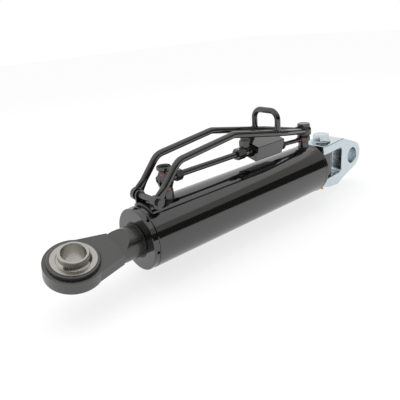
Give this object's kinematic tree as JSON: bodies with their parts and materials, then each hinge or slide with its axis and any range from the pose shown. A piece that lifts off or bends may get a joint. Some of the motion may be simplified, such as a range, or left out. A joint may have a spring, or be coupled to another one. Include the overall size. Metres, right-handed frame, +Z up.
{
  "type": "hydraulic top link",
  "caption": "Hydraulic top link with a swivel knuckle, cylinder, ball eye, check valve block, hard pipe and carrying handle.",
  "frame": {"origin": "centre of the tractor pin's bore in the knuckle", "axes": "+Z up, the cylinder lies along -X from the tractor pin to the ball eye, +Y along the tractor pin, away from the near side"},
  "size_m": [0.6904, 0.095, 0.2019],
  "materials": {
    "gloss_black": "gloss",
    "satin_black": "satin",
    "eye_black": "semi-gloss",
    "zinc": "bright zinc plate",
    "steel": "ground",
    "chrome": "polished",
    "bronze": "machined",
    "copper": "satin",
    "brass": "satin",
    "rubber": "matte",
    "seal": "matte",
    "guide": "matte"
  },
  "bodies": {
    "knuckle": {"knuckle": "zinc", "swivel_bolt": "zinc", "bolt_washer": "zinc", "thrust_washers": "bronze", "grease_nipple": "brass"},
    "barrel": {"barrel_tube": "gloss_black", "rear_cap": "gloss_black", "lug_bush": "bronze", "gland": "gloss_black", "gland_o_ring": "rubber", "rod_seal": "seal", "rod_wiper": "rubber", "rod_guide_ring": "guide", "front_port_boss": "gloss_black", "rear_port_boss": "gloss_black", "sealing_washers": "copper", "front_banjo": "gloss_black", "front_hollow_bolt": "gloss_black", "rear_banjo": "gloss_black", "rear_hollow_bolt": "gloss_black", "handle_sleeve": "gloss_black", "transfer_pipe": "gloss_black", "front_pipe_nut": "gloss_black", "rear_pipe_nut": "gloss_black", "pipe_tee": "gloss_black", "upper_hose_adapter": "satin_black", "back_hose_adapter": "satin_black", "valve_block": "gloss_black", "stub_neck": "gloss_black", "stub_nut": "satin_black", "stub_pipe": "gloss_black", "handle_bar_near": "gloss_black", "handle_bar_far": "gloss_black", "cross_tube": "satin_black", "handle_bolt": "satin_black", "handle_nut": "satin_black", "saddle_bracket": "gloss_black", "hose_guide": "gloss_black"},
    "piston_rings": {"piston_seal": "seal", "piston_guide_rings": "guide"},
    "rod": {"piston_rod": "chrome", "piston": "steel", "piston_nut": "steel", "rod_eye": "eye_black", "ball_race": "steel"},
    "ball": {"ball": "steel"}
  },
  "joints": [
    {"name": "barrel_swivel", "type": "hinge", "parent": "knuckle", "child": "barrel", "pos_m": [-0.08, 0, 0], "axis": [0, 0, 1], "range_deg": [-85, 85]},
    {"name": "rod_slide", "type": "slide", "parent": "barrel", "child": "piston_rings", "axis": [-1, 0, 0], "range_m": [0, 0.245]},
    {"name": "rod_turn", "type": "hinge", "parent": "piston_rings", "child": "rod", "pos_m": [-0.6216, 0, 0], "axis": [1, 0, 0], "continuous": true},
    {"name": "ball_tilt", "type": "hinge", "parent": "rod", "child": "ball", "pos_m": [-0.6216, 0, 0], "axis": [1, 0, 0], "range_deg": [-10, 10]}
  ]
}
